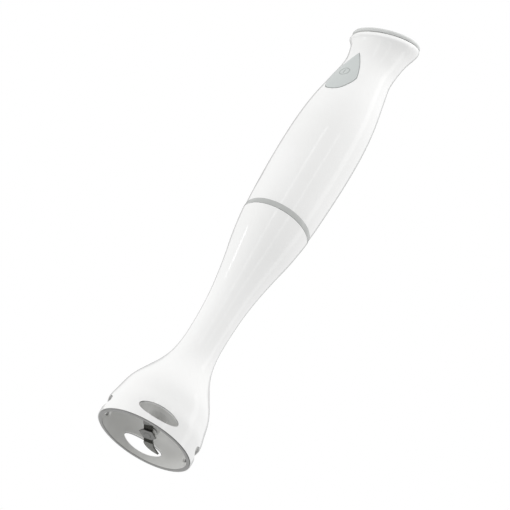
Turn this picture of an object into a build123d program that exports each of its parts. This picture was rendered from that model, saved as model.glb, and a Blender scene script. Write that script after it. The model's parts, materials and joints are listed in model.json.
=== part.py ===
"""Corded immersion blender: a motor handle and a twist-off leg with a bell guard and a two-wing blade.

Millimetres. +Z runs up the tool, the bell's rim stands on Z = 0 and the button faces -Y.
Heights are stacked: each group is placed from the one below it.
"""
from build123d import *
import os
from math import cos, radians, sin, tan

os.makedirs("parts", exist_ok=True)

# ---------------------------------------------------------------- driving dimensions
# Fits
running = 0.05
seat = 0.05
clear = 0.3
button_gap = 0.35
lug_gap = 0.4
spigot_gap = 0.35

# Leg: a bell guard that narrows to a throat and flares again to the joint.
# Shapes are (share of the height, share of the radius) pairs between two named places.
bell_r = 32.5
skirt_h = 11.0
throat_r = 12.7
throat_z = 86.0
leg_h = 175.0
leg_wall = 1.8
bell_shape = ((0.115, 0.93), (0.25, 0.815), (0.41, 0.53), (0.62, 0.15))
stem_shape = ((0.32, 0.15), (0.66, 0.575))

# Bell windows
window_count = 4
window_turn = -49.0
window_half_w = 13.5
window_half_h = 4.35
window_z = 8.3

# Liner of the bell, with the boss that carries the lower bush
liner_wall = 1.2
liner_roof_h = 2.5
rim_foot_h = 0.4
rim_inset = 1.0
dome_z = 22.5
dome_share = 0.55
wall_top_drop = 2.0
wall_round = 3.2
wall_round_h = 4.0
boss_r = 5.8
boss_low_z = 8.8
boss_straight_h = 4.0
boss_round = 2.2
boss_round_h = 3.0

# Handle: a belly round the motor, a waist behind the button and a flare that leans to the cap
ring_h = 4.0
ring_bulge = 0.15
joint_step = 0.2
joint_room = 0.1
belly_room = 2.6
belly_rise = 60.7
waist_r = 18.5
waist_rise = 80.5
cap_r = 24.3
flare_h = 28.8
cap_tilt = 24.5
handle_wall = 2.5
belly_shape = ((0.18, 0.36), (0.43, 0.66), (0.7, 0.9))
shoulder_shape = ((0.27, 0.935), (0.5, 0.728), (0.69, 0.432), (0.795, 0.259), (0.9, 0.08))
flare_shape = ((0.25, 0.095), (0.5, 0.31), (0.75, 0.755))

# Air vents in the back of the handle
vent_count = 5
vent_pitch = 4.2
vent_w = 16.0
vent_h = 1.8
vent_drop = 36.5

# Cap and cord inlet
cap_gap = 0.5
cap_edge = ((-0.2, 0.5), (0.2, 1.5), (0.0, 2.4), (-0.6, 3.1), (-1.7, 3.5))
cap_crown_h = 5.6
cap_crown_share = 0.75
cap_wall = 2.0
cap_skirt_h = 3.0
cap_skirt_gap = 1.2
cap_inner_h = 1.0
inlet_bore_r = 3.3
inlet_r = 5.2
inlet_flange_r = 7.2
inlet_flange_h = 2.0
inlet_sink = 4.3
inlet_h = 11.0

# Coupling between leg and handle: lugs that climb helical grooves
spigot_h = 17.8
spigot_wall = 2.2
lug_count = 3
lug_r = 1.75
lug_h = 1.6
lug_drop = 3.8
unlock_turn = 60.0
unlock_drop = 16.0
socket_wall = 3.55
socket_web_h = 3.0
socket_roof_gap = 0.9

# Seat washer that turns with the leg and stays in the socket
washer_lip = 0.7
washer_w = 3.2
washer_h = 1.0
washer_slack = 0.2
washer_tab_w = 5.0
washer_tab_h = 2.5

# Blade, its shaft and the dogs
shaft_r = 2.5
shaft_low_z = 4.4
shaft_chamfer = 0.4
blade_turn = 120.0
blade_w = 6.0
blade_t = 1.2
blade_z = 5.4
blade_bend_r = 12.8
blade_skew = 18.0
wing_back = ((1.5, 2.9), (3.1, 1.8), (5.0, -1.4), (6.0, -5.4))
wing_tip = (6.1, -8.2)
wing_front = ((4.2, -6.3), (2.2, -4.1))
low_wing_angle = 20.0
high_wing_angle = 28.0
blade_spacer_r = 4.4
blade_washer_l = 11.4
blade_washer_ear = 5.8
blade_washer_h = 0.8
bush_r = 4.5
bush_h = 10.0
seal_h = 1.8
seal_lip = 0.9
tube_wall = 0.9
collar_h = 12.0
collar_web_h = 3.0
collar_hub_r = 7.0
collar_hub_drop = 2.0
circlip_r = 4.4
circlip_h = 0.7
circlip_groove = 0.4
circlip_arc = 300.0
dog_wall = 1.4
dog_bore_wall = 1.5
dog_hub_h = 6.0
dog_roof_h = 1.0
dog_claw_h = 4.5
dog_claw_arc = 50.0
dog_gap = 0.5
dog_room = 1.3
dog_rise = 3.0

# Motor
motor_r = 21.5
motor_can_wall = 1.8
motor_rib = 1.5
motor_top_gap = 2.5
fan_port_arc = 50.0
air_port_arc = 40.0
coil_port_arc = 110.0
port_count = 4
rotor_shaft_r = 2.5
shaft_bite = 1.5
bearing_r = 8.0
bearing_h = 5.0
bearing_boss_wall = 2.0
bearing_recess = 0.4
bearing_race = 1.5
bracket_plate_h = 3.5
fan_room = 3.2
fan_rise = 3.0
fan_h = 7.0
fan_disc_h = 1.2
fan_hub_wall = 2.5
fan_blade_t = 0.9
fan_blade_lean = 18.0
fan_blades = 9
stack_rise = 6.5
stack_h = 26.0
coil_rim = 4.2
coil_w = 4.1
coil_slot_arc = 48.0
coil_arc = 176.0
coil_end_arc = 182.0
coil_end_h = 4.0
air_gap = 0.5
armature_slots = 12
slot_w = 1.6
slot_depth = 4.5
slot_mouth = 0.4
winding_inset = 1.2
winding_round = 1.4
commutator_r = 7.5
commutator_h = 11.0
commutator_rise = 3.5
commutator_bars = 12
bar_gap_w = 0.5
bar_gap_depth = 0.8
riser_h = 1.5
riser_lip = 0.9
brush_w = 5.4
brush_l = 7.5
brush_box_wall = 1.0
brush_box_gap = 1.5
brush_box_inset = 1.0
brush_coil_r = 1.9
brush_wire_r = 0.25
brush_coil_turns = 3
bolt_r = 1.5
bolt_edge = 1.2
bolt_boss_wall = 1.6
bolt_head_r = 2.6
bolt_head_h = 2.4
damper_h = 5.0

# Button and switch
button_drop = 24.0
button_half_w = 10.6
button_up = 24.5
button_down = 15.4
button_travel = 2.0
button_proud = 0.4
button_depth = 4.0
button_lip = 1.2
stem_r = 2.1
stem_reach = 0.2
switch_rise = 4.5
switch_w = 14.0
switch_h = 22.0
switch_depth = 11.0
plunger_r = 1.7
plunger_out = 4.0
spring_r = 3.4
spring_wire_r = 0.35
spring_turns = 6
spring_slack = 0.1
spring_seat_depth = 2.9

# Carrier, board and cord clamp
carrier_foot_h = 4.5
carrier_foot_r = 2.2
carrier_foot_pitch = (28.0, 6.0)
carrier_base_h = 2.5
carrier_edge = 2.1
carrier_w = 23.0
carrier_y = 4.0
carrier_t = 2.5
carrier_drop = 1.0
board_w = 23.0
board_h = 46.0
board_rise = 5.5
board_t = 1.6
capacitor_rise = 4.0
capacitor_size = (16.0, 6.0, 20.0)
choke_r = 5.2
choke_bore_r = 2.4
choke_h = 5.0
choke_drop = 3.0
clamp_w = 18.0
clamp_h = 8.0
clamp_t = 4.5
screw_r = 1.3
screw_head_r = 2.4
screw_head_h = 1.7
screw_edge = 0.6

# ---------------------------------------------------------------- shared places
# Radii: the motor sets the handle, and the handle sets the joint
handle_low_r = motor_r + joint_room + handle_wall
belly_r = motor_r + belly_room + handle_wall
leg_top_r = handle_low_r + joint_step
socket_r = handle_low_r - handle_wall - clear
socket_bore_r = socket_r - socket_wall
spigot_r = socket_bore_r - spigot_gap
washer_r = spigot_r + washer_lip
screw_circle_r = washer_r - washer_w - screw_head_r - clear
dog_r = screw_circle_r - bolt_r - dog_room - dog_wall
liner_r = bell_r - leg_wall - seat
cavity_r = liner_r - liner_wall
skirt_r = cap_r - handle_wall - cap_skirt_gap

# Heights of the leg and the joint
leg_top_z = leg_h
liner_top_z = dome_z + liner_roof_h
bush_low_z = boss_low_z + seal_h
tube_low_z = bush_low_z + bush_h
collar_low_z = leg_top_z - collar_h
upper_bush_z = collar_low_z - collar_hub_drop
circlip_z = upper_bush_z + bush_h + clear
ring_low_z = leg_top_z + clear
ring_top_z = ring_low_z + ring_h
spigot_top_z = leg_top_z + spigot_h
lug_z = spigot_top_z - lug_drop
socket_low_z = ring_low_z + clear
washer_z = spigot_top_z + clear
socket_roof_z = washer_z + washer_h + socket_roof_gap
socket_top_z = socket_roof_z + socket_web_h
driven_dog_z = leg_top_z + dog_rise
claw_low_z = driven_dog_z + dog_hub_h
drive_dog_z = claw_low_z + dog_claw_h + dog_gap
shaft_top_z = claw_low_z - dog_roof_h
shaft_end_z = drive_dog_z + shaft_bite

# Heights of the motor
bracket_low_z = socket_top_z
bearing_low_z = bracket_low_z + motor_rib
fan_low_z = bearing_low_z + bearing_h + fan_rise
stack_z = fan_low_z + fan_h + stack_rise
stack_top_z = stack_z + stack_h
commutator_low_z = stack_top_z + coil_end_h + commutator_rise
brush_z = commutator_low_z + commutator_h / 2
motor_top_z = commutator_low_z + commutator_h + motor_top_gap
bearing_high_z = motor_top_z + dog_roof_h
bracket_top_z = motor_top_z + bracket_plate_h

# Heights of the handle
belly_z = ring_top_z + belly_rise
waist_z = belly_z + waist_rise
cap_z = waist_z + flare_h
button_z = waist_z - button_drop
switch_z = button_z + switch_rise
vent_low_z = waist_z - vent_drop
carrier_base_z = bracket_top_z + carrier_foot_h
board_low_z = carrier_base_z + carrier_base_h + board_rise
inlet_low_z = cap_z - inlet_sink
carrier_top_z = inlet_low_z - carrier_drop
clamp_z = carrier_top_z - clamp_h / 2

# Places inside the motor and behind the button
bolt_circle_r = motor_r - bolt_r - bolt_edge
rib_r = motor_r - 2 * motor_can_wall
fan_r = motor_r - motor_can_wall - fan_room
coil_outer_r = motor_r - coil_rim
stator_bore_r = coil_outer_r - coil_w - 2 * clear
armature_r = stator_bore_r - air_gap
brush_in_x = commutator_r + running
brush_box_w = brush_w + 2 * brush_box_wall
box_in_x = commutator_r + brush_box_gap
brush_box_l = motor_r - brush_box_inset - box_in_x
switch_front_y = carrier_y - switch_depth
spring_seat_y = spring_seat_depth - waist_r
board_y = carrier_y + carrier_t
board_back_y = board_y + board_t
clamp_screw_pitch = 2 * (inlet_bore_r + screw_head_r + screw_edge)

lug_turns = [180 + k * 360 / lug_count for k in range(lug_count)]
cap_up = (0, -sin(radians(cap_tilt)), cos(radians(cap_tilt)))
cap_plane = Plane((0, 0, cap_z), x_dir=(1, 0, 0), z_dir=cap_up)


def finish(node, label):
    """Label a finished piece and write its STEP file."""
    node.part.label = label
    export_step(node.part, f"parts/{label}.step")


def leg_points(inset):
    """Outline of the leg above its skirt as (radius, height) pairs, moved in by inset."""
    bell = [
        (throat_r + (bell_r - throat_r) * r - inset, skirt_h + (throat_z - skirt_h) * z)
        for z, r in bell_shape
    ]
    stem = [
        (throat_r + (leg_top_r - throat_r) * r - inset, throat_z + (leg_top_z - throat_z) * z)
        for z, r in stem_shape
    ]
    skirt_top = (bell_r - inset, skirt_h)
    throat = (throat_r - inset, throat_z)
    return [skirt_top, *bell, throat, *stem, (leg_top_r - inset, leg_top_z)]


def leg_form(inset, low_z):
    """Solid of revolution inside the leg's outline, moved in by inset."""
    points = leg_points(inset)
    with BuildPart(mode=Mode.PRIVATE) as form:
        with BuildSketch(Plane.XZ):
            with BuildLine():
                Polyline((0, leg_top_z), (0, low_z), (bell_r - inset, low_z), points[0])
                Spline(*points, tangents=((0, 1), (0.12, 1)))
                Line(points[-1], (0, leg_top_z))
            make_face()
        revolve(axis=Axis.Z)
    return form.part


def handle_stations():
    """Height on the axis, radius and lean of each section of the handle."""
    low = [
        (ring_top_z + (belly_z - ring_top_z) * z, handle_low_r + (belly_r - handle_low_r) * r, 0)
        for z, r in belly_shape
    ]
    shoulder = [
        (belly_z + (waist_z - belly_z) * z, waist_r + (belly_r - waist_r) * r, 0)
        for z, r in shoulder_shape
    ]
    flare = [
        (waist_z + (cap_z - waist_z) * w, waist_r + (cap_r - waist_r) * r, cap_tilt * w)
        for w, r in flare_shape
    ]
    return [
        (ring_top_z, handle_low_r, 0), *low, (belly_z, belly_r, 0), *shoulder,
        (waist_z, waist_r, 0), *flare, (cap_z, cap_r, cap_tilt),
    ]


def handle_form(inset):
    """Solid inside the handle's outline, moved in by inset."""
    with BuildPart(mode=Mode.PRIVATE) as form:
        for z, r, lean in handle_stations():
            up = (0, -sin(radians(lean)), cos(radians(lean)))
            with BuildSketch(Plane((0, 0, z), x_dir=(1, 0, 0), z_dir=up)):
                Circle(r - inset)
        loft()
    return form.part


def tube_form(outer_r, inner_r, low_z, high_z):
    """Plain tube on the axis, or a disc where inner_r is 0."""
    with BuildPart(mode=Mode.PRIVATE) as form:
        with BuildSketch(Plane.XY.offset(low_z)):
            Circle(outer_r)
            if inner_r > 0:
                Circle(inner_r, mode=Mode.SUBTRACT)
        extrude(amount=high_z - low_z)
    return form.part


def slice_form(low_z, high_z):
    """Wide disc that keeps what lies between two heights."""
    with BuildPart(mode=Mode.PRIVATE) as form:
        with BuildSketch(Plane.XY.offset(low_z)):
            Circle(3 * bell_r)
        extrude(amount=high_z - low_z)
    return form.part


def sector(inner_r, outer_r, arc, turn=0):
    """Ring sector about the direction turn, as a sketch."""
    start = turn - arc / 2
    with BuildSketch(mode=Mode.PRIVATE) as shape:
        with BuildLine():
            inner = CenterArc((0, 0), inner_r, start, arc)
            outer = CenterArc((0, 0), outer_r, start, arc)
            Line(inner @ 0, outer @ 0)
            Line(inner @ 1, outer @ 1)
        make_face()
    return shape.sketch


def radial_plane(turn, z):
    """Plane at height z on the axis that faces out in the direction turn, with its x up the axis."""
    return Plane((0, 0, z), x_dir=(0, 0, 1), z_dir=(cos(radians(turn)), sin(radians(turn)), 0))


def window_form():
    """The bell's windows as solids that run through its wall."""
    with BuildPart(mode=Mode.PRIVATE) as form:
        for k in range(window_count):
            turn = window_turn + k * 360 / window_count
            with BuildSketch(radial_plane(turn, window_z).offset(bell_r * 0.7)):
                Ellipse(window_half_h, window_half_w)
            extrude(amount=bell_r * 0.5)
    return form.part


# ---------------------------------------------------------------- leg
with BuildPart() as leg_shell:
    add(leg_form(0, rim_foot_h + seat))
    add(leg_form(leg_wall, rim_foot_h + seat), mode=Mode.SUBTRACT)
    add(window_form(), mode=Mode.SUBTRACT)
finish(leg_shell, "leg_shell")

with BuildPart() as bell_liner:
    with BuildSketch(Plane.XZ):
        with BuildLine():
            wall_top = (cavity_r, skirt_h - wall_top_drop)
            boss_top = (boss_r, boss_low_z + boss_straight_h)
            Spline(
                wall_top,
                (cavity_r - wall_round, dome_z - wall_round_h),
                (cavity_r * dome_share, dome_z),
                (boss_r + boss_round, dome_z - boss_round_h),
                boss_top,
                tangents=((0, 1), (0, -1)),
            )
            Polyline(
                boss_top, (boss_r, boss_low_z), (bush_r, boss_low_z), (bush_r, liner_top_z),
                (2 * bell_r, liner_top_z), (2 * bell_r, 0), (cavity_r, 0), wall_top,
            )
        make_face()
    revolve(axis=Axis.Z)
    add(leg_form(leg_wall + seat, 0), mode=Mode.INTERSECT)
    add(tube_form(bell_r - rim_inset, cavity_r, 0, rim_foot_h))
    add(window_form(), mode=Mode.SUBTRACT)
finish(bell_liner, "bell_liner")

with BuildPart() as lower_bush:
    add(tube_form(bush_r - seat, shaft_r + running, bush_low_z, tube_low_z))
finish(lower_bush, "lower_bush")

with BuildPart() as shaft_seal:
    add(tube_form(bush_r - seat, shaft_r + running, boss_low_z, bush_low_z))
    groove = tube_form(bush_r - seal_lip, shaft_r + seal_lip, boss_low_z, boss_low_z + seal_h / 2)
    add(groove, mode=Mode.SUBTRACT)
finish(shaft_seal, "shaft_seal")

with BuildPart() as shaft_tube:
    add(tube_form(bush_r - seat, bush_r - seat - tube_wall, tube_low_z, upper_bush_z))
finish(shaft_tube, "shaft_tube")

with BuildPart() as upper_bush:
    add(tube_form(bush_r - seat, shaft_r + running, upper_bush_z, upper_bush_z + bush_h))
finish(upper_bush, "upper_bush")

with BuildPart() as leg_collar:
    add(leg_form(leg_wall + seat, 0))
    add(slice_form(collar_low_z, leg_top_z), mode=Mode.INTERSECT)
    add(tube_form(spigot_r, shaft_r, leg_top_z, spigot_top_z))
    with BuildSketch(Plane.XY.offset(collar_low_z + collar_web_h)):
        Circle(spigot_r - spigot_wall)
    extrude(amount=spigot_top_z - collar_low_z, mode=Mode.SUBTRACT)
    add(tube_form(collar_hub_r, bush_r, upper_bush_z, upper_bush_z + bush_h))
    with BuildSketch(Plane.XY.offset(upper_bush_z)):
        Circle(bush_r)
    extrude(amount=bush_h, mode=Mode.SUBTRACT)
    for turn in lug_turns:
        with BuildSketch(radial_plane(turn, lug_z).offset(spigot_r - spigot_wall / 2)):
            Circle(lug_r)
        extrude(amount=spigot_wall / 2 + lug_h)
    for side in (1, -1):
        with BuildSketch(Plane.XY.offset(spigot_top_z)):
            with Locations((0, side * spigot_r)):
                Rectangle(washer_tab_w + 2 * clear, 4 * spigot_wall)
        extrude(amount=-washer_tab_h, mode=Mode.SUBTRACT)
finish(leg_collar, "leg_collar")

# ---------------------------------------------------------------- blade and its shaft
with BuildPart() as blade_shaft:
    with BuildSketch(Plane.XY.offset(shaft_low_z)):
        Circle(shaft_r)
    extrude(amount=shaft_top_z - shaft_low_z)
    chamfer(blade_shaft.edges().filter_by(GeomType.CIRCLE), shaft_chamfer)
    groove_r = shaft_r - circlip_groove
    groove = tube_form(2 * shaft_r, groove_r, circlip_z - seat, circlip_z + circlip_h + seat)
    add(groove, mode=Mode.SUBTRACT)
finish(blade_shaft, "blade_shaft")

with BuildPart() as circlip:
    with BuildSketch(Plane.XY.offset(circlip_z)):
        add(sector(groove_r, circlip_r, circlip_arc))
    extrude(amount=circlip_h)
finish(circlip, "shaft_circlip")

with BuildPart() as driven_dog:
    with BuildSketch(Plane.XY.offset(driven_dog_z)):
        Circle(dog_r)
    extrude(amount=dog_hub_h)
    with BuildSketch(Plane.XY.offset(claw_low_z)):
        for side in (0, 180):
            add(sector(shaft_r + dog_bore_wall, dog_r, dog_claw_arc, side))
    extrude(amount=dog_claw_h)
    with BuildSketch(Plane.XY.offset(driven_dog_z)):
        Circle(shaft_r + seat)
    extrude(amount=shaft_top_z + seat - driven_dog_z, mode=Mode.SUBTRACT)
finish(driven_dog, "driven_dog")

blade_dir = (cos(radians(blade_turn)), sin(radians(blade_turn)), 0)
skew_rise = tan(radians(blade_skew))
fold_room = blade_t * tan(radians(low_wing_angle / 2))


def wing_plane(turn, bend):
    """Plane of a wing: x runs on along the blade from its skewed fold, and bend tips its end up."""
    a, b = radians(turn), radians(bend)
    fold = radians(turn - blade_skew)
    root = (blade_bend_r * cos(a), blade_bend_r * sin(a), blade_z)
    out = (cos(b) * cos(fold), cos(b) * sin(fold), sin(b))
    up = (-sin(b) * cos(fold), -sin(b) * sin(fold), cos(b))
    return Plane(root, x_dir=out, z_dir=up).rotated((0, 0, blade_skew))


def skewed(half_l, half_w):
    """Corners at the two ends of a strip along x whose ends are cut parallel to the folds."""
    lean = half_w * skew_rise
    return [(half_l + lean, half_w), (half_l - lean, -half_w)]


with BuildPart() as blade:
    with BuildSketch(Plane((0, 0, blade_z), x_dir=blade_dir, z_dir=(0, 0, 1))):
        low_end = skewed(blade_bend_r + fold_room, blade_w / 2)
        high_end = [(-x, -y) for x, y in skewed(blade_bend_r, blade_w / 2)]
        Polygon(*low_end, *high_end, align=None)
    extrude(amount=blade_t)
    low_wing = (blade_turn, -low_wing_angle, fold_room)
    high_wing = (blade_turn + 180, high_wing_angle, 0)
    for turn, bend, room in (low_wing, high_wing):
        with BuildSketch(wing_plane(turn, bend)):
            back_root, front_root = skewed(-room, blade_w / 2)
            with BuildLine():
                Spline(back_root, *wing_back, wing_tip)
                Polyline(wing_tip, *wing_front, front_root, back_root)
            make_face()
        extrude(amount=blade_t)
    with BuildSketch(Plane.XY.offset(blade_z - blade_t)):
        Circle(shaft_r + seat)
    extrude(amount=3 * blade_t, mode=Mode.SUBTRACT)
finish(blade, "blade")

with BuildPart() as blade_washer:
    with BuildSketch(Plane((0, 0, blade_z - blade_washer_h), x_dir=blade_dir, z_dir=(0, 0, 1))):
        end = skewed(blade_washer_l / 2, blade_w / 2)
        ear = (0, -blade_washer_ear)
        half = [*end, ear]
        Polygon(*half, *[(-x, -y) for x, y in half], align=None)
        Circle(shaft_r + seat, mode=Mode.SUBTRACT)
    extrude(amount=blade_washer_h)
finish(blade_washer, "blade_washer")

with BuildPart() as blade_spacer:
    add(tube_form(blade_spacer_r, shaft_r + seat, blade_z + blade_t, boss_low_z - clear))
finish(blade_spacer, "blade_spacer")

# ---------------------------------------------------------------- coupling in the handle
groove_path_r = spigot_r + lug_h / 2
groove_w = 2 * (lug_r + lug_gap)
groove_fall = lug_z - socket_low_z + groove_w
groove_pitch = unlock_drop * 360 / unlock_turn


def groove_form():
    """The helical groove of the first lug: its seat at the top, then the way down and out."""
    first = radial_plane(lug_turns[0], lug_z)
    with BuildPart(mode=Mode.PRIVATE) as form:
        with BuildLine():
            path = Helix(
                groove_pitch, groove_fall, groove_path_r, center=(0, 0, lug_z), direction=(0, 0, -1),
            )
        with BuildSketch(Plane(path @ 0, x_dir=first.z_dir, z_dir=path % 0)):
            Rectangle(lug_h + 2 * lug_gap, groove_w)
        sweep(path=path, is_frenet=True)
        with BuildSketch(first.offset(spigot_r - spigot_wall / 2)):
            Circle(lug_r + lug_gap)
        extrude(amount=spigot_wall / 2 + lug_h + lug_gap)
    return form.part


with BuildPart() as coupling_socket:
    add(handle_form(handle_wall + seat))
    add(slice_form(socket_top_z - 2 * socket_web_h, socket_top_z), mode=Mode.INTERSECT)
    add(tube_form(socket_r, shaft_r, socket_low_z, socket_top_z))
    with BuildSketch(Plane.XY.offset(socket_low_z)):
        Circle(socket_bore_r)
    extrude(amount=socket_roof_z - socket_low_z, mode=Mode.SUBTRACT)
    slot_low_z = washer_z - washer_slack / 2
    slot_top_z = washer_z + washer_h + washer_slack
    add(tube_form(washer_r + washer_slack, shaft_r, slot_low_z, slot_top_z), mode=Mode.SUBTRACT)
    with BuildSketch(Plane.XY.offset(socket_low_z)):
        Circle(dog_r + dog_room)
        with PolarLocations(screw_circle_r, lug_count):
            Circle(bolt_r)
    extrude(amount=socket_top_z - socket_low_z, mode=Mode.SUBTRACT)
    for turn in lug_turns:
        add(groove_form(), rotation=(0, 0, turn - lug_turns[0]), mode=Mode.SUBTRACT)
finish(coupling_socket, "coupling_socket")

with BuildPart() as seat_washer:
    add(tube_form(washer_r, washer_r - washer_w, washer_z, washer_z + washer_h))
    with BuildSketch(Plane.XY.offset(washer_z)):
        with Locations((0, spigot_r - spigot_wall / 2), (0, spigot_wall / 2 - spigot_r)):
            Rectangle(washer_tab_w, spigot_wall)
    extrude(amount=-washer_tab_h)
finish(seat_washer, "seat_washer")

with BuildPart() as trim_ring:
    with BuildSketch(Plane.XZ):
        with BuildLine():
            Polyline(
                (leg_top_r, ring_low_z), (socket_r + seat, ring_low_z),
                (socket_r + seat, ring_top_z), (handle_low_r, ring_top_z),
            )
            ThreePointArc(
                (handle_low_r, ring_top_z),
                ((leg_top_r + handle_low_r) / 2 + ring_bulge, (ring_low_z + ring_top_z) / 2),
                (leg_top_r, ring_low_z),
            )
        make_face()
    revolve(axis=Axis.Z)
finish(trim_ring, "trim_ring")

# ---------------------------------------------------------------- handle shell, cap and button
def button_outline(grow):
    """The button's shield shape, wider by grow all round, as a sketch that faces the front."""
    half_w = button_half_w + grow
    up = button_up + 1.4 * grow
    down = button_down + grow
    top = (0, button_z + up)
    side = (half_w, button_z)
    low = (0, button_z - down)
    with BuildSketch(Plane.XZ, mode=Mode.PRIVATE) as shape:
        with BuildLine():
            ThreePointArc(top, (half_w * 0.62, button_z + up * 0.505), side)
            Spline(side, (half_w * 0.83, button_z - down * 0.53), low, tangents=((0, -1), (-1, 0)))
            mirror(about=Plane.YZ)
        make_face()
    return shape.sketch


def button_slab(grow, outer_inset, inner_inset):
    """What the button's outline cuts from the handle between two depths below its surface."""
    with BuildPart(mode=Mode.PRIVATE) as form:
        extrude(button_outline(grow), amount=2 * belly_r, dir=(0, -1, 0))
        add(handle_form(outer_inset), mode=Mode.INTERSECT)
        add(handle_form(inner_inset), mode=Mode.SUBTRACT)
    return form.part


def button_stem():
    """The stem behind the button and the collar that its spring pushes on."""
    plunger_tip_y = switch_front_y - plunger_out
    with BuildPart(mode=Mode.PRIVATE) as form:
        for low_y, r in ((plunger_tip_y - stem_reach, stem_r), (spring_seat_y, spring_r + 1)):
            with BuildSketch(Plane.XZ.offset(-low_y)):
                with Locations((0, switch_z)):
                    Circle(r)
            extrude(amount=belly_r)
        add(handle_form(button_depth - seat), mode=Mode.INTERSECT)
    return form.part


with BuildPart() as handle_housing:
    add(handle_form(0))
    add(handle_form(handle_wall), mode=Mode.SUBTRACT)
    add(button_slab(button_gap, -clear, handle_wall + clear), mode=Mode.SUBTRACT)
    with BuildSketch(Plane.XZ.offset(-waist_r / 2)):
        for k in range(vent_count):
            with Locations((0, vent_low_z + k * vent_pitch)):
                SlotOverall(vent_w, vent_h)
    extrude(amount=-2 * waist_r, mode=Mode.SUBTRACT)
finish(handle_housing, "handle_housing")

with BuildPart() as button:
    add(button_slab(0, -button_proud, button_depth))
    add(button_slab(button_lip, handle_wall + clear, button_depth))
    add(button_stem())
finish(button, "button")

with BuildPart() as top_cap:
    with BuildSketch(Plane(cap_plane.origin, x_dir=cap_plane.x_dir, z_dir=-cap_plane.y_dir)):
        with BuildLine():
            edge = [(cap_r + out, up) for out, up in cap_edge]
            shoulder = edge[-1]
            rise = cap_crown_h - shoulder[1]
            crown_side = (shoulder[0] / 2, shoulder[1] + rise * cap_crown_share)
            Line((0, cap_gap), edge[0])
            Spline(*edge, tangents=((0.5, 1), (-shoulder[0], 2 * rise)))
            ThreePointArc(shoulder, crown_side, (0, cap_crown_h))
            Line((0, cap_crown_h), (0, cap_gap))
        make_face()
    revolve(axis=Axis(cap_plane.origin, cap_plane.z_dir))
    with BuildSketch(cap_plane.offset(-cap_skirt_h)):
        Circle(skirt_r)
    extrude(amount=cap_skirt_h + cap_gap)
    with BuildSketch(cap_plane.offset(-cap_skirt_h)):
        Circle(skirt_r - cap_wall)
    extrude(amount=cap_skirt_h + cap_gap + cap_inner_h, mode=Mode.SUBTRACT)
    with BuildSketch(Plane.XY.offset(inlet_low_z - clear)):
        Circle(inlet_r + seat)
    extrude(amount=2 * inlet_h, mode=Mode.SUBTRACT)
finish(top_cap, "top_cap")

with BuildPart() as cord_bush:
    add(tube_form(inlet_r, inlet_bore_r, inlet_low_z, inlet_low_z + inlet_h))
    add(tube_form(inlet_flange_r, inlet_bore_r, inlet_low_z, inlet_low_z + inlet_flange_h))
finish(cord_bush, "cord_bush")

# ---------------------------------------------------------------- motor
with BuildPart() as motor_bracket_lower:
    with BuildSketch(Plane.XY.offset(bracket_low_z)):
        Circle(motor_r)
    extrude(amount=stack_z - bracket_low_z)
    with BuildSketch(Plane.XY.offset(bracket_low_z + bracket_plate_h)):
        Circle(motor_r - motor_can_wall)
    extrude(amount=stack_z - bracket_low_z - bracket_plate_h, mode=Mode.SUBTRACT)
    with BuildSketch(Plane.XY.offset(bracket_low_z)):
        Circle(bearing_r + bearing_boss_wall)
        with PolarLocations(bolt_circle_r, 2, start_angle=90):
            Circle(bolt_r + bolt_boss_wall)
    extrude(amount=bearing_low_z + bearing_h - bracket_low_z)
    with BuildSketch(Plane.XY.offset(bearing_low_z)):
        Circle(bearing_r + seat)
    extrude(amount=stack_z - bearing_low_z, mode=Mode.SUBTRACT)
    with BuildSketch(Plane.XY.offset(bracket_low_z)):
        Circle(rotor_shaft_r + bearing_race)
        with PolarLocations(screw_circle_r, lug_count):
            Circle(bolt_r)
        with PolarLocations(bolt_circle_r, 2, start_angle=90):
            Circle(bolt_r)
    extrude(amount=stack_z - bracket_low_z, mode=Mode.SUBTRACT)
    with BuildSketch(Plane.XY.offset(fan_low_z)):
        for k in range(port_count):
            add(sector(rib_r, motor_r + clear, fan_port_arc, (k + 0.5) * 360 / port_count))
    extrude(amount=fan_h, mode=Mode.SUBTRACT)
finish(motor_bracket_lower, "motor_bracket_lower")

with BuildPart() as motor_bracket_upper:
    add(tube_form(motor_r, motor_r - motor_can_wall, stack_top_z, motor_top_z))
    with BuildSketch(Plane.XY.offset(motor_top_z)):
        Circle(motor_r)
    extrude(amount=bracket_plate_h)
    with BuildSketch(Plane.XY.offset(motor_top_z)):
        for k in range(port_count):
            port_r = bearing_r + 2 * bearing_boss_wall
            add(sector(port_r, rib_r, air_port_arc, (k + 0.5) * 360 / port_count))
    extrude(amount=bracket_plate_h, mode=Mode.SUBTRACT)
    with BuildSketch(Plane.XY.offset(motor_top_z)):
        Circle(bearing_r + bearing_boss_wall)
    extrude(amount=bearing_h + motor_rib)
    with BuildSketch(Plane.XY.offset(motor_top_z)):
        Circle(bearing_r + seat)
    extrude(amount=bearing_high_z + bearing_h - motor_top_z, mode=Mode.SUBTRACT)
    with BuildSketch(Plane.XY.offset(stack_top_z)):
        with PolarLocations(bolt_circle_r, 2, start_angle=90):
            Circle(bolt_r)
    extrude(amount=bracket_top_z - stack_top_z, mode=Mode.SUBTRACT)
    with BuildSketch(Plane.XY.offset(stack_top_z + motor_rib)):
        for side in (90, 270):
            add(sector(rib_r, motor_r + clear, coil_port_arc, side))
    extrude(amount=motor_top_z - stack_top_z - 2 * motor_rib, mode=Mode.SUBTRACT)
    with BuildSketch(Plane.YZ):
        with Locations((0, brush_z)):
            Rectangle(brush_box_w, brush_box_w)
    extrude(amount=2 * motor_r, both=True, mode=Mode.SUBTRACT)
finish(motor_bracket_upper, "motor_bracket_upper")

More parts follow.
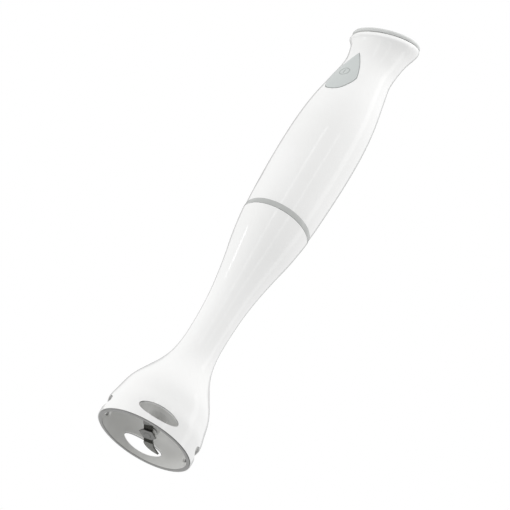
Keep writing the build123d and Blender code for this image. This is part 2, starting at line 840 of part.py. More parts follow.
for label, low_z in (("motor_bearing_lower", bearing_low_z), ("motor_bearing_upper", bearing_high_z)):
    with BuildPart() as bearing:
        add(tube_form(bearing_r, rotor_shaft_r + running, low_z, low_z + bearing_h))
        for face_z in (low_z, low_z + bearing_h):
            with BuildSketch(Plane.XY.offset(face_z)):
                Circle(bearing_r - bearing_race)
                Circle(rotor_shaft_r + bearing_race, mode=Mode.SUBTRACT)
            extrude(amount=bearing_recess, both=True, mode=Mode.SUBTRACT)
    finish(bearing, label)

with BuildPart() as stator_core:
    with BuildSketch(Plane.XY.offset(stack_z)):
        Circle(motor_r)
        Circle(stator_bore_r, mode=Mode.SUBTRACT)
        for side in (0, 180):
            add(sector(armature_r, coil_outer_r + seat, coil_slot_arc, side), mode=Mode.SUBTRACT)
        with PolarLocations(bolt_circle_r, 2, start_angle=90):
            Circle(bolt_r, mode=Mode.SUBTRACT)
    extrude(amount=stack_h)
finish(stator_core, "stator_core")

for label, side in (("field_coil_front", 270), ("field_coil_rear", 90)):
    with BuildPart() as field_coil:
        with BuildSketch(Plane.XY.offset(stack_z - coil_end_h)):
            add(sector(stator_bore_r + 2 * clear, coil_outer_r, coil_arc, side))
        extrude(amount=stack_h + 2 * coil_end_h)
        with BuildSketch(Plane.XY.offset(stack_z - clear)):
            add(sector(stator_bore_r, coil_outer_r + clear, coil_end_arc - coil_slot_arc, side))
        extrude(amount=stack_h + 2 * clear, mode=Mode.SUBTRACT)
    finish(field_coil, label)

with BuildPart() as rotor_shaft:
    with BuildSketch(Plane.XY.offset(shaft_end_z)):
        Circle(rotor_shaft_r)
    extrude(amount=bearing_high_z + bearing_h - clear - shaft_end_z)
finish(rotor_shaft, "rotor_shaft")

with BuildPart() as armature_core:
    with BuildSketch(Plane.XY.offset(stack_z)):
        Circle(armature_r)
        Circle(rotor_shaft_r, mode=Mode.SUBTRACT)
        with PolarLocations(armature_r - slot_depth / 2 + slot_mouth, armature_slots):
            Rectangle(slot_depth + 2 * slot_mouth, slot_w, mode=Mode.SUBTRACT)
    extrude(amount=stack_h)
finish(armature_core, "armature_core")

with BuildPart() as armature_winding:
    for low_z in (stack_z - coil_end_h, stack_top_z):
        add(tube_form(armature_r - winding_inset, rotor_shaft_r, low_z, low_z + coil_end_h))
    rims = armature_winding.edges().filter_by(GeomType.CIRCLE).filter_by(lambda e: e.radius > bearing_r)
    fillet(rims, winding_round)
    with BuildSketch(Plane.XY.offset(stack_z - coil_end_h / 2)):
        with PolarLocations(armature_r - slot_depth / 2 - slot_mouth, armature_slots):
            Rectangle(slot_depth - 3 * slot_mouth, slot_w - 4 * seat)
    extrude(amount=stack_h + coil_end_h)
finish(armature_winding, "armature_winding")

with BuildPart() as commutator:
    with BuildSketch(Plane.XY.offset(commutator_low_z)):
        Circle(commutator_r)
        Circle(rotor_shaft_r, mode=Mode.SUBTRACT)
        with PolarLocations(commutator_r, commutator_bars, start_angle=180 / commutator_bars):
            Rectangle(2 * bar_gap_depth, bar_gap_w, mode=Mode.SUBTRACT)
    extrude(amount=commutator_h)
    riser_top_z = commutator_low_z + riser_h
    add(tube_form(commutator_r + riser_lip, rotor_shaft_r, commutator_low_z, riser_top_z))
finish(commutator, "commutator")

with BuildPart() as cooling_fan:
    hub_r = rotor_shaft_r + fan_hub_wall
    add(tube_form(fan_r, rotor_shaft_r, fan_low_z, fan_low_z + fan_disc_h))
    add(tube_form(hub_r, rotor_shaft_r, fan_low_z, fan_low_z + fan_h))
    with BuildSketch(Plane.XY.offset(fan_low_z)):
        with PolarLocations(0, fan_blades):
            with Locations(Location(((fan_r + hub_r) / 2, 0), fan_blade_lean)):
                Rectangle(fan_r - hub_r - fan_disc_h, fan_blade_t)
    extrude(amount=fan_h)
finish(cooling_fan, "cooling_fan")

for label, side in (("left", -1), ("right", 1)):
    out = Plane((0, 0, brush_z), x_dir=(0, 1, 0), z_dir=(side, 0, 0))
    with BuildPart() as brush:
        with BuildSketch(out.offset(brush_in_x)):
            Rectangle(brush_w, brush_w)
        extrude(amount=brush_l)
        add(tube_form(commutator_r + running, 0, brush_z - brush_w, brush_z + brush_w), mode=Mode.SUBTRACT)
    finish(brush, f"carbon_brush_{label}")
    with BuildPart() as brush_box:
        with BuildSketch(out.offset(box_in_x)):
            Rectangle(brush_box_w, brush_box_w)
        extrude(amount=brush_box_l)
        with BuildSketch(out.offset(box_in_x)):
            Rectangle(brush_w + 2 * seat, brush_w + 2 * seat)
        extrude(amount=brush_box_l - brush_box_wall, mode=Mode.SUBTRACT)
    finish(brush_box, f"brush_holder_{label}")
    with BuildPart() as brush_spring:
        coil_in_x = brush_in_x + brush_l + spring_slack + brush_wire_r
        coil_out_x = box_in_x + brush_box_l - brush_box_wall - spring_slack - brush_wire_r
        coil_l = coil_out_x - coil_in_x
        with BuildLine():
            coil = Helix(
                coil_l / brush_coil_turns, coil_l, brush_coil_r,
                center=(side * coil_in_x, 0, brush_z), direction=(side, 0, 0),
            )
        with BuildSketch(Plane(coil @ 0, z_dir=coil % 0)):
            Circle(brush_wire_r)
        sweep(path=coil, is_frenet=True)
    finish(brush_spring, f"brush_spring_{label}")

with BuildPart() as motor_bolts:
    with BuildSketch(Plane.XY.offset(bracket_low_z)):
        with PolarLocations(bolt_circle_r, 2, start_angle=90):
            Circle(bolt_r)
    extrude(amount=bracket_top_z - bracket_low_z)
    with BuildSketch(Plane.XY.offset(bracket_top_z)):
        with PolarLocations(bolt_circle_r, 2, start_angle=90):
            Circle(bolt_head_r)
    extrude(amount=bolt_head_h)
finish(motor_bolts, "motor_bolts")

with BuildPart() as socket_screws:
    with BuildSketch(Plane.XY.offset(socket_roof_z)):
        with PolarLocations(screw_circle_r, lug_count):
            Circle(bolt_r)
    extrude(amount=socket_web_h + bracket_plate_h)
    with BuildSketch(Plane.XY.offset(socket_roof_z - screw_head_h)):
        with PolarLocations(screw_circle_r, lug_count):
            Circle(screw_head_r)
    extrude(amount=screw_head_h)
finish(socket_screws, "socket_screws")

with BuildPart() as motor_damper:
    add(handle_form(handle_wall + seat))
    add(slice_form(motor_top_z - damper_h, motor_top_z), mode=Mode.INTERSECT)
    with BuildSketch(Plane.XY.offset(motor_top_z - damper_h)):
        Circle(motor_r + seat)
    extrude(amount=damper_h, mode=Mode.SUBTRACT)
finish(motor_damper, "motor_damper")

with BuildPart() as drive_dog:
    with BuildSketch(Plane.XY.offset(drive_dog_z)):
        Circle(dog_r)
    extrude(amount=dog_hub_h + dog_roof_h)
    with BuildSketch(Plane.XY.offset(drive_dog_z)):
        for side in (90, 270):
            add(sector(rotor_shaft_r + dog_bore_wall, dog_r, dog_claw_arc, side))
    extrude(amount=-dog_claw_h)
    with BuildSketch(Plane.XY.offset(shaft_end_z - seat)):
        Circle(rotor_shaft_r)
    extrude(amount=dog_hub_h + dog_roof_h, mode=Mode.SUBTRACT)
finish(drive_dog, "drive_dog")

# ---------------------------------------------------------------- switch, board and clamp
with BuildPart() as switch_body:
    with BuildSketch(Plane.XZ.offset(-switch_front_y)):
        with Locations((0, switch_z)):
            Rectangle(switch_w, switch_h)
    extrude(amount=-switch_depth)
    with BuildSketch(Plane.XZ.offset(-switch_front_y)):
        with Locations((0, switch_z)):
            Circle(plunger_r + running)
    extrude(amount=-2 * plunger_out, mode=Mode.SUBTRACT)
finish(switch_body, "switch_body")

with BuildPart() as switch_plunger:
    with BuildSketch(Plane.XZ.offset(plunger_out - switch_front_y)):
        with Locations((0, switch_z)):
            Circle(plunger_r)
    extrude(amount=-plunger_out - 2 * button_travel)
finish(switch_plunger, "switch_plunger")

with BuildPart() as button_spring:
    spring_back_y = switch_front_y - spring_wire_r - spring_slack
    spring_l = spring_back_y - spring_seat_y - spring_wire_r - spring_slack
    with BuildLine():
        coil = Helix(
            spring_l / spring_turns, spring_l, spring_r,
            center=(0, spring_back_y, switch_z), direction=(0, -1, 0),
        )
    with BuildSketch(Plane(coil @ 0, z_dir=coil % 0)):
        Circle(spring_wire_r)
    sweep(path=coil, is_frenet=True)
finish(button_spring, "button_spring")

with BuildPart() as switch_carrier:
    with BuildSketch(Plane.XY.offset(carrier_base_z)):
        Circle(motor_r - carrier_edge)
        Circle(bearing_r + 1.5 * bearing_boss_wall, mode=Mode.SUBTRACT)
    extrude(amount=carrier_base_h)
    with BuildSketch(Plane.XY.offset(bracket_top_z)):
        with GridLocations(*carrier_foot_pitch, 2, 2):
            Circle(carrier_foot_r)
    extrude(amount=carrier_foot_h)
    with BuildSketch(Plane.XY.offset(carrier_base_z)):
        with Locations((0, carrier_y + carrier_t / 2)):
            Rectangle(carrier_w, carrier_t)
    extrude(amount=carrier_top_z - carrier_base_z)
    with BuildSketch(Plane.XY.offset(carrier_top_z - clamp_h)):
        with Locations((0, (carrier_y + clear) / 2)):
            Rectangle(clamp_w, carrier_y - clear)
    extrude(amount=clamp_h)
    with BuildSketch(Plane.XY.offset(carrier_top_z - clamp_h)):
        Circle(inlet_bore_r)
    extrude(amount=clamp_h, mode=Mode.SUBTRACT)
    with BuildSketch(Plane.XZ):
        with Locations((0, clamp_z)):
            with GridLocations(clamp_screw_pitch, 1, 2, 1):
                Circle(screw_r)
    extrude(amount=-carrier_y - carrier_t, mode=Mode.SUBTRACT)
finish(switch_carrier, "switch_carrier")

with BuildPart() as cord_clamp:
    with BuildSketch(Plane.XY.offset(carrier_top_z - clamp_h)):
        with Locations((0, -clamp_t / 2)):
            Rectangle(clamp_w, clamp_t)
        Circle(inlet_bore_r, mode=Mode.SUBTRACT)
    extrude(amount=clamp_h)
    with BuildSketch(Plane.XZ):
        with Locations((0, clamp_z)):
            with GridLocations(clamp_screw_pitch, 1, 2, 1):
                Circle(screw_r)
    extrude(amount=clamp_t, mode=Mode.SUBTRACT)
finish(cord_clamp, "cord_clamp")

with BuildPart() as clamp_screws:
    with BuildSketch(Plane.XZ.offset(clamp_t)):
        with Locations((0, clamp_z)):
            with GridLocations(clamp_screw_pitch, 1, 2, 1):
                Circle(screw_r)
    extrude(amount=-clamp_t - carrier_y - carrier_t)
    with BuildSketch(Plane.XZ.offset(clamp_t)):
        with Locations((0, clamp_z)):
            with GridLocations(clamp_screw_pitch, 1, 2, 1):
                Circle(screw_head_r)
    extrude(amount=screw_head_h)
finish(clamp_screws, "clamp_screws")

with BuildPart() as circuit_board:
    with BuildSketch(Plane.XY.offset(board_low_z)):
        with Locations((0, board_y + board_t / 2)):
            Rectangle(board_w, board_t)
    extrude(amount=board_h)
finish(circuit_board, "circuit_board")

with BuildPart() as capacitor:
    with BuildSketch(Plane.XY.offset(board_low_z + capacitor_rise)):
        with Locations((0, board_back_y + capacitor_size[1] / 2)):
            Rectangle(capacitor_size[0], capacitor_size[1])
    extrude(amount=capacitor_size[2])
finish(capacitor, "capacitor")

with BuildPart() as choke:
    with BuildSketch(Plane.XZ.offset(-board_back_y)):
        with Locations((0, board_low_z + board_h - choke_r - choke_drop)):
            Circle(choke_r)
            Circle(choke_bore_r, mode=Mode.SUBTRACT)
    extrude(amount=-choke_h)
finish(choke, "choke")
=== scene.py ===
"""Looks of the immersion blender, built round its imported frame."""
import json
import math
import bmesh
import bpy
from mathutils import Matrix, Vector
from mathutils.bvhtree import BVHTree


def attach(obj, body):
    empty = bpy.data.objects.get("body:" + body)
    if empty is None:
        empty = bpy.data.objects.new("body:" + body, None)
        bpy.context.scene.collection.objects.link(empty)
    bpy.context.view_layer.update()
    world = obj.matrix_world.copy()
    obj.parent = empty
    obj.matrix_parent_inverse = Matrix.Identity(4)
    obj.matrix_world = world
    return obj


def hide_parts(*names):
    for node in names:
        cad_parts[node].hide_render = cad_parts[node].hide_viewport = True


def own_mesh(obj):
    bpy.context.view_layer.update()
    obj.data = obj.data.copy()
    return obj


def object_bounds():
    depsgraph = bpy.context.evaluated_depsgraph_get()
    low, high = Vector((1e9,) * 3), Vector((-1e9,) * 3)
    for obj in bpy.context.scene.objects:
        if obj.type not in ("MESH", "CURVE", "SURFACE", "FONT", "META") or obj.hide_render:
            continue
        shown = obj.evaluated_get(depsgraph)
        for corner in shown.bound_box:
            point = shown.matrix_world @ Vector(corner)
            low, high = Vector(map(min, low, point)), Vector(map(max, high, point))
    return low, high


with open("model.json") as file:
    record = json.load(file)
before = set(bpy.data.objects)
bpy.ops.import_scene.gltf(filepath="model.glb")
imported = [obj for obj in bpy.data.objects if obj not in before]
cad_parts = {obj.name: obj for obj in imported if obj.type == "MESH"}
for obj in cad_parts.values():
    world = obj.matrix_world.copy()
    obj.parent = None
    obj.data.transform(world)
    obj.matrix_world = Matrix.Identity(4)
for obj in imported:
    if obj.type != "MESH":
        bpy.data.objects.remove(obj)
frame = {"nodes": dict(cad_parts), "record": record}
cad_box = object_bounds()
nodes = frame["nodes"]
scene = bpy.context.scene
scene.view_settings.view_transform = "Standard"


# ---------------------------------------------------------------- node tools
def math_node(tree, operation, *values, clamp=False):
    """Output of a Math node that works on one or two sockets."""
    made = tree.nodes.new("ShaderNodeMath")
    made.operation = operation
    made.use_clamp = clamp
    for value, socket in zip(values, made.inputs):
        tree.links.new(value, socket)
    return made.outputs[0]


def length_node(tree, vector):
    """Length of a vector socket."""
    made = tree.nodes.new("ShaderNodeVectorMath")
    made.operation = "LENGTH"
    tree.links.new(vector, made.inputs[0])
    return made.outputs["Value"]


def ramp_node(tree, value, low, high, out_low=0.0, out_high=1.0):
    """Smooth step of a value, from out_low at low to out_high at high."""
    made = tree.nodes.new("ShaderNodeMapRange")
    made.interpolation_type = "SMOOTHSTEP"
    ends = {"From Min": low, "From Max": high, "To Min": out_low, "To Max": out_high}
    for socket, number in ends.items():
        made.inputs[socket].default_value = number
    tree.links.new(value, made.inputs["Value"])
    return made.outputs[0]


def mix_node(tree, share, first, second, surface):
    """Send a blend of two shaders to the surface: the first where share is 0, the second where it is 1."""
    made = tree.nodes.new("ShaderNodeMixShader")
    for value, socket in zip((share, first, second), made.inputs):
        tree.links.new(value, socket)
    tree.links.new(made.outputs[0], surface)


# ---------------------------------------------------------------- material tools
# Noises: how many features to a metre, and how many finer layers on them.
flow_noise = (14, 4)
handling_noise = (90, 6)
wave_noise = (35, 2)
grain_noise = (2500, 2)
tarnish_noise = (60, 4)
line_noise = (900, 4)
wave_depth = 0.00006
line_depth = 0.00002

# Ranges that are stretched to 0 and 1: of a noise, or of how squarely a face looks along the tool.
flow_range = (0.35, 0.7)
tarnish_range = (0.4, 0.75)
rough_range = (0.3, 0.7)
flat_facing = (0.95, 0.99)

# Places on the tool that get painted shade: it starts at the first number and is full at the second.
rim_heights = (0.0007, 0.0003)      # the face that the bell stands on
window_heights = (0.0145, 0.014)    # the cut walls of the bell's windows, below this height
window_radii = (0.0321, 0.0319)     # and inside this radius, so not on the bell's outer skin

flat_shine = (0.35, 0.35, 0.35)     # edge gloss of metal whose flats carry a painted dark reflection


class Surface:
    """A material whose colour, roughness and bump are built from small node chains."""

    def __init__(self, name, color, metallic=0.0):
        self.material = bpy.data.materials.new(name)
        self.material.use_nodes = True
        self.tree = self.material.node_tree
        self.shader = self.tree.nodes["Principled BSDF"]
        self.shader.inputs["Metallic"].default_value = metallic
        self.coords = self.node("ShaderNodeTexCoord")
        self.color = (*color, 1)
        self.roughness = None
        self.normal = None

    def node(self, kind, **settings):
        made = self.tree.nodes.new(kind)
        for key, value in settings.items():
            setattr(made, key, value)
        return made

    def link(self, output, socket):
        self.tree.links.new(output, socket)

    def paint(self, socket):
        """Set a socket to the colour so far: a link, or the plain value at the start."""
        if isinstance(self.color, tuple):
            socket.default_value = self.color
        else:
            self.link(self.color, socket)

    def stretched(self, scale):
        """Place on the tool, scaled along each axis."""
        mapping = self.node("ShaderNodeMapping")
        mapping.inputs["Scale"].default_value = scale
        self.link(self.coords.outputs["Object"], mapping.inputs["Vector"])
        return mapping.outputs[0]

    def noise(self, scale, detail, stretch=(1, 1, 1)):
        made = self.node("ShaderNodeTexNoise")
        made.inputs["Scale"].default_value = scale
        made.inputs["Detail"].default_value = detail
        self.link(self.stretched(stretch), made.inputs["Vector"])
        return made.outputs["Fac"]

    def along_axis(self, vector):
        """The part of a vector that runs along the tool."""
        split = self.node("ShaderNodeSeparateXYZ")
        self.link(vector, split.inputs[0])
        return split.outputs["Z"]

    def ramp(self, value, low, high):
        return ramp_node(self.tree, value, low, high)

    def on_flats(self):
        """1 where the surface faces along the tool, 0 where it is tilted, such as on a wing."""
        faced = self.along_axis(self.coords.outputs["Normal"])
        return self.ramp(math_node(self.tree, "ABSOLUTE", faced), *flat_facing)

    def at_height(self, low, high):
        """Changes from 0 at the height low on the tool to 1 at high, which may be the lower one."""
        return self.ramp(self.along_axis(self.coords.outputs["Object"]), low, high)

    def at_radius(self, low, high):
        """Changes from 0 at the distance low from the tool's axis to 1 at high."""
        return self.ramp(length_node(self.tree, self.stretched((1, 1, 0))), low, high)

    def both(self, first, second):
        """1 where both values are 1."""
        return math_node(self.tree, "MULTIPLY", first, second)

    def tint(self, value, color):
        """Blend towards color where value is 1."""
        mix = self.node("ShaderNodeMix", data_type="RGBA")
        self.link(value, mix.inputs["Factor"])
        self.paint(mix.inputs[6])
        mix.inputs[7].default_value = (*color, 1)
        self.color = mix.outputs[2]

    def rough(self, value, low, high):
        """Roughness from low to high with value."""
        self.roughness = ramp_node(self.tree, value, *rough_range, low, high)

    def bump(self, value, distance):
        """Raise the surface by value, on top of the bumps so far."""
        made = self.node("ShaderNodeBump")
        made.inputs["Distance"].default_value = distance
        self.link(value, made.inputs["Height"])
        if self.normal is not None:
            self.link(self.normal, made.inputs["Normal"])
        self.normal = made.outputs[0]

    def done(self):
        self.paint(self.shader.inputs["Base Color"])
        self.link(self.roughness, self.shader.inputs["Roughness"])
        self.link(self.normal, self.shader.inputs["Normal"])
        return self.material


def plastic(name, color, shade, rough_low, rough_high, grain=0.0, rim=None, window=None):
    """Moulded plastic: faint flow variation, handling marks in the gloss and a fine grain.

    Where they are given, rim is painted shade on the face that the bell stands on, and window is
    painted shade on the cut walls of the bell's windows.
    """
    s = Surface(name, color)
    s.tint(s.ramp(s.noise(*flow_noise), *flow_range), shade)
    # Painted shade on the face that the bell stands on.
    if rim:
        s.tint(s.at_height(*rim_heights), rim)
    # Painted shade on the cut walls of the bell's windows.
    if window:
        s.tint(s.both(s.at_height(*window_heights), s.at_radius(*window_radii)), window)
    s.rough(s.noise(*handling_noise), rough_low, rough_high)
    s.bump(s.noise(*wave_noise), wave_depth)
    if grain:
        s.bump(s.noise(*grain_noise), grain)
    return s.done()


def metal(name, color, shade, rough_low, rough_high, stretch=(1, 1, 1), flat=None):
    """Bare metal with fine drawn or ground lines, and a painted dark reflection on the flats where flat is
    given.
    """
    s = Surface(name, color, metallic=1.0)
    s.tint(s.ramp(s.noise(*tarnish_noise), *tarnish_range), shade)
    # Painted dark reflection on the faces that look along the tool.
    if flat:
        s.tint(s.on_flats(), flat)
        s.shader.inputs["Specular Tint"].default_value = (*flat_shine, 1)
    lines = s.noise(*line_noise, stretch)
    s.rough(lines, rough_low, rough_high)
    s.bump(lines, line_depth)
    return s.done()


# Each finish of a slot: its colour, the shade that it varies to, its lowest and highest roughness, and then
# the depth of a plastic's grain or the stretch of a metal's lines, where it has one.
plastics = {
    "white_shell": ((0.86, 0.86, 0.855), (0.83, 0.83, 0.822), 0.035, 0.06),
    "grey_liner": ((0.64, 0.64, 0.625), (0.61, 0.61, 0.595), 0.34, 0.46, 0.00003),
    "grey_trim": ((0.46, 0.47, 0.46), (0.43, 0.44, 0.43), 0.1, 0.16, 0.00001),
    "button_grey": ((0.54, 0.57, 0.56), (0.51, 0.535, 0.53), 0.34, 0.44, 0.00002),
    "black_plastic": ((0.05, 0.05, 0.055), (0.07, 0.07, 0.072), 0.35, 0.5, 0.00003),
    "frame_plastic": ((0.6, 0.61, 0.6), (0.55, 0.56, 0.55), 0.35, 0.5, 0.00002),
    "natural_nylon": ((0.8, 0.78, 0.7), (0.74, 0.72, 0.64), 0.3, 0.45, 0.00002),
    "black_rubber": ((0.04, 0.04, 0.045), (0.06, 0.06, 0.062), 0.6, 0.75, 0.00004),
    "board_green": ((0.1, 0.3, 0.14), (0.08, 0.24, 0.11), 0.3, 0.45),
    "capacitor_yellow": ((0.8, 0.62, 0.12), (0.74, 0.56, 0.1), 0.3, 0.4),
    "carbon": ((0.05, 0.05, 0.055), (0.08, 0.08, 0.08), 0.45, 0.6, 0.00004),
    "ferrite": ((0.12, 0.12, 0.12), (0.09, 0.09, 0.09), 0.4, 0.6, 0.00003),
}
metals = {
    "blade_steel": ((0.22, 0.22, 0.21), (0.17, 0.17, 0.165), 0.2, 0.34, (1, 8, 1)),
    "shaft_steel": ((0.66, 0.66, 0.67), (0.55, 0.55, 0.56), 0.18, 0.3, (1, 1, 12)),
    "spring_steel": ((0.55, 0.55, 0.56), (0.45, 0.45, 0.46), 0.22, 0.36),
    "zinc_screw": ((0.68, 0.68, 0.66), (0.58, 0.58, 0.55), 0.28, 0.42),
    "lamination": ((0.3, 0.3, 0.31), (0.22, 0.22, 0.23), 0.4, 0.55, (1, 1, 20)),
    "copper_wire": ((0.72, 0.38, 0.22), (0.6, 0.3, 0.16), 0.25, 0.4, (1, 1, 10)),
    "commutator_copper": ((0.75, 0.45, 0.28), (0.6, 0.34, 0.2), 0.2, 0.35, (1, 1, 14)),
    "bronze": ((0.34, 0.28, 0.2), (0.27, 0.22, 0.16), 0.35, 0.5),
    "brass_box": ((0.78, 0.62, 0.32), (0.68, 0.52, 0.26), 0.25, 0.4),
    "tube_aluminium": ((0.75, 0.75, 0.76), (0.66, 0.66, 0.67), 0.25, 0.4, (1, 1, 14)),
}
# Painted shade and painted reflection that a finish gets in some places only.
painted_light_places = {
    "white_shell": {"window": (0.27, 0.27, 0.265)},
    "grey_liner": {"rim": (0.25, 0.25, 0.245)},
    "blade_steel": {"flat": (0.08, 0.08, 0.074)},
}
materials = {name: plastic(name, *finish, **painted_light_places.get(name, {})) for name, finish in plastics.items()}
materials |= {name: metal(name, *finish, **painted_light_places.get(name, {})) for name, finish in metals.items()}

# Finishes that the record has no slot for.
mark_grey = plastic("mark_grey", (0.36, 0.385, 0.375), (0.33, 0.35, 0.345), 0.34, 0.44, 0.00002)
cap_grey = plastic("cap_grey", (0.62, 0.63, 0.62), (0.58, 0.59, 0.58), 0.1, 0.16, 0.00001)
washer_steel = metal("washer_steel", (0.15, 0.15, 0.145), (0.12, 0.12, 0.115), 0.28, 0.4, (8, 1, 1))

slots = {part["node"]: part["material_slot"] for part in frame["record"]["subparts"]}
own_finish = {
    "blade_washer": washer_steel,
    "blade_shaft": washer_steel,
    "top_cap": cap_grey,
    "blade_spacer": materials["grey_liner"],
}
for node, obj in nodes.items():
    obj.data.materials.clear()
    obj.data.materials.append(own_finish.get(node, materials[slots[node]]))
    for face in obj.data.polygons:
        face.material_index = 0


# ---------------------------------------------------------------- raised mark on the button
mark_z = 0.3
mark_r = 0.0036
mark_line_w = 0.00035
mark_line_h = 0.00016
mark_sunk = 0.2         # share of the line's height that lies below the button's face
mark_sides = 6
ring_steps = 48
bar_reach = 0.55        # half the bar's length, as a share of the ring's radius
bar_steps = 8
before_button = -0.1    # Y of a point well in front of the button

button_mesh = nodes["button"].data
button_tree = BVHTree.FromPolygons(
    [v.co for v in button_mesh.vertices], [list(f.vertices) for f in button_mesh.polygons]
)


def on_button(x, z):
    """Point and normal on the button's face at the place x, z."""
    place, normal, _, _ = button_tree.ray_cast(Vector((x, before_button, z)), Vector((0, 1, 0)))
    return place, normal


def raised_line(name, path, closed):
    """Half-round raised line along a path of (x, z) places on the button's face."""
    mesh = bpy.data.meshes.new(name)
    made = bmesh.new()
    spots = [on_button(x, z) for x, z in path]
    rows = []
    for i, (place, normal) in enumerate(spots):
        if closed:
            ahead, behind = spots[(i + 1) % len(spots)][0], spots[i - 1][0]
        else:
            ahead, behind = spots[min(i + 1, len(spots) - 1)][0], spots[max(i - 1, 0)][0]
        side = (ahead - behind).cross(normal).normalized()
        row = []
        for k in range(mark_sides + 1):
            a = math.pi * k / mark_sides
            lift = normal * (mark_line_h * math.sin(a) - mark_line_h * mark_sunk)
            row.append(made.verts.new(place + side * (mark_line_w * math.cos(a)) + lift))
        rows.append(row)
    pairs = list(zip(rows, rows[1:]))
    if closed:
        pairs.append((rows[-1], rows[0]))
    else:
        made.faces.new(rows[0])
        made.faces.new(list(reversed(rows[-1])))
    for low, high in pairs:
        for k in range(mark_sides + 1):
            after = (k + 1) % (mark_sides + 1)
            made.faces.new((low[k], high[k], high[after], low[after]))
    bmesh.ops.recalc_face_normals(made, faces=made.faces)
    made.to_mesh(mesh)
    made.free()
    for face in mesh.polygons:
        face.use_smooth = len(face.vertices) == 4
    piece = bpy.data.objects.new(name, mesh)
    scene.collection.objects.link(piece)
    mesh.materials.append(mark_grey)
    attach(piece, "button")


ring_angles = [2 * math.pi * k / ring_steps for k in range(ring_steps)]
ring_path = [(mark_r * math.cos(a), mark_z + mark_r * math.sin(a)) for a in ring_angles]
bar_shares = [bar_reach - 2 * bar_reach * k / bar_steps for k in range(bar_steps + 1)]
bar_path = [(0, mark_z + mark_r * share) for share in bar_shares]
raised_line("button_mark_ring", ring_path, closed=True)
raised_line("button_mark_bar", bar_path, closed=False)


# ---------------------------------------------------------------- spring under the button, as a copy on the handle
spring = bpy.data.objects.new("button_spring_coil", nodes["button_spring"].data.copy())
scene.collection.objects.link(spring)
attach(spring, "handle")
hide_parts("button_spring")
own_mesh(spring)


# ---------------------------------------------------------------- camera, from below on the button's left
focal_mm = 116.47
sensor_mm = 36
eye_turn = 42.5
eye_rise = 28.30
eye_roll = 31.42
eye_back = 0.9469
eye_drop = 0.3600
eye_side = -0.0012

camera = bpy.data.objects.new("camera", bpy.data.cameras.new("camera"))
scene.collection.objects.link(camera)
scene.camera = camera
camera.data.lens = focal_mm
camera.data.sensor_width = sensor_mm
camera.data.clip_start = 0.01
upright = Matrix.Rotation(math.radians(90), 4, "X")
turn = Matrix.Rotation(math.radians(eye_turn), 4, "Z")
aim = Matrix.Rotation(math.radians(90 + eye_rise), 4, "X") @ Matrix.Rotation(math.radians(eye_roll), 4, "Z")
camera.matrix_world = turn @ Matrix.Translation((eye_side, -eye_back, -eye_drop)) @ aim


# ---------------------------------------------------------------- world: white to the eye, grey as light
fill_level = 0.665

world = bpy.data.worlds.new("studio")
scene.world = world
world.use_nodes = True
tree = world.node_tree
tree.nodes.clear()
light_path = tree.nodes.new("ShaderNodeLightPath")
seen = light_path.outputs["Is Camera Ray"]
for kind in ("Is Glossy Ray", "Is Transmission Ray"):
    seen = math_node(tree, "MAXIMUM", seen, light_path.outputs[kind])
fill = tree.nodes.new("ShaderNodeBackground")
fill.inputs["Color"].default_value = (fill_level, fill_level, fill_level, 1)
backdrop = tree.nodes.new("ShaderNodeBackground")
backdrop.inputs["Color"].default_value = (1, 1, 1, 1)
out = tree.nodes.new("ShaderNodeOutputWorld")
mix_node(tree, seen, fill.outputs[0], backdrop.outputs[0], out.inputs[0])


# ---------------------------------------------------------------- lamps
lamp_distance = 1.2
lamp_aim = Vector((0, 0, 0.18))


def softbox(name, azimuth, elevation, width, height, watts, mirrored=False):
    """Rectangular lamp aimed at the middle of the tool, with its azimuth taken from the camera's.

    A mirrored one shows in the tool's gloss and does nothing else. Another lights it and never shows.
    """
    lamp = bpy.data.objects.new(name, bpy.data.lights.new(name, "AREA"))
    lamp.data.shape = "RECTANGLE"
    lamp.data.size, lamp.data.size_y = width, height
    lamp.data.energy = watts
    a, e = math.radians(eye_turn + azimuth), math.radians(elevation)
    back = Vector((math.sin(a) * math.cos(e), -math.cos(a) * math.cos(e), math.sin(e)))
    lamp.location = lamp_aim + back * lamp_distance
    lamp.visible_camera = False
    lamp.visible_glossy = mirrored
    lamp.visible_diffuse = not mirrored
    lamp.rotation_mode = "QUATERNION"
    lamp.rotation_quaternion = (-back).to_track_quat("-Z", "Y")
    scene.collection.objects.link(lamp)


softbox("key", -58, 32, 0.9, 0.9, 1.4)
softbox("side", 75, 34, 0.9, 1.4, 6.8)
softbox("top", 0, 75, 0.8, 0.8, 6.0)
softbox("under", -72, -34, 1.0, 1.0, 6.2)
softbox("streak_left", -81, 0, 0.1, 0.55, 0.65, mirrored=True)
softbox("streak_middle", -20, -3, 0.1, 2.0, 0.95, mirrored=True)
softbox("streak_right", 21, -3, 0.09, 2.0, 0.8, mirrored=True)
softbox("streak_edge", 80, 30, 0.3, 1.2, 0.8, mirrored=True)


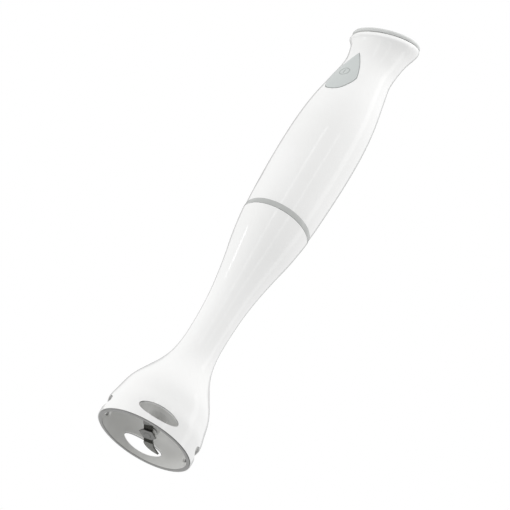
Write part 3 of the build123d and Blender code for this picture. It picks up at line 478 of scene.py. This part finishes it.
# ---------------------------------------------------------------- card and floor
def plane_object(name, half_w, half_h, color, roughness):
    """Flat rectangle in its own XY plane that isn't part of the object."""
    mesh = bpy.data.meshes.new(name)
    flat = bmesh.new()
    bmesh.ops.create_grid(flat, x_segments=1, y_segments=1, size=1.0)
    bmesh.ops.scale(flat, vec=(half_w, half_h, 1), verts=flat.verts)
    flat.to_mesh(mesh)
    flat.free()
    made = bpy.data.objects.new(name, mesh)
    scene.collection.objects.link(made)
    material = bpy.data.materials.new(name)
    material.use_nodes = True
    shader = material.node_tree.nodes["Principled BSDF"]
    shader.inputs["Base Color"].default_value = (*color, 1)
    shader.inputs["Roughness"].default_value = roughness
    mesh.materials.append(material)
    return made


# Dark card behind the tool, seen in its gloss only: it draws the thin dark line along the white edges.
card_half_w = 0.75
card_half_h = 0.9
card_back = 1.2
card_lift = 0.8
card = plane_object("edge_card", card_half_w, card_half_h, (0.38, 0.38, 0.38), 0.9)
card.matrix_world = turn @ Matrix.Translation((0, card_back, card_lift)) @ upright
card.visible_camera = card.visible_diffuse = card.visible_shadow = card.visible_transmission = False

# The floor lies just below where the leg gets when it is let go. It shows to the camera from above only,
# so that a low camera sees the tool through it, and it fades out far from the tool.
floor_drop = 0.0165
floor_half = 1.3
floor_fade = (0.3, 1.15)
floor = plane_object("floor", floor_half, floor_half, (0.88, 0.88, 0.87), 0.7)
floor.location.z = cad_box[0][2] - floor_drop
tree = floor.data.materials[0].node_tree
camera_ray = tree.nodes.new("ShaderNodeLightPath").outputs["Is Camera Ray"]
from_below = tree.nodes.new("ShaderNodeNewGeometry").outputs["Backfacing"]
above = math_node(tree, "SUBTRACT", camera_ray, from_below, clamp=True)
spread = length_node(tree, tree.nodes.new("ShaderNodeTexCoord").outputs["Object"])
near = ramp_node(tree, spread, *floor_fade, 1.0, 0.0)
clear = tree.nodes.new("ShaderNodeBsdfTransparent")
pale = tree.nodes["Principled BSDF"]
shown = math_node(tree, "MULTIPLY", above, near)
mix_node(tree, shown, clear.outputs[0], pale.outputs[0], tree.nodes["Material Output"].inputs["Surface"])
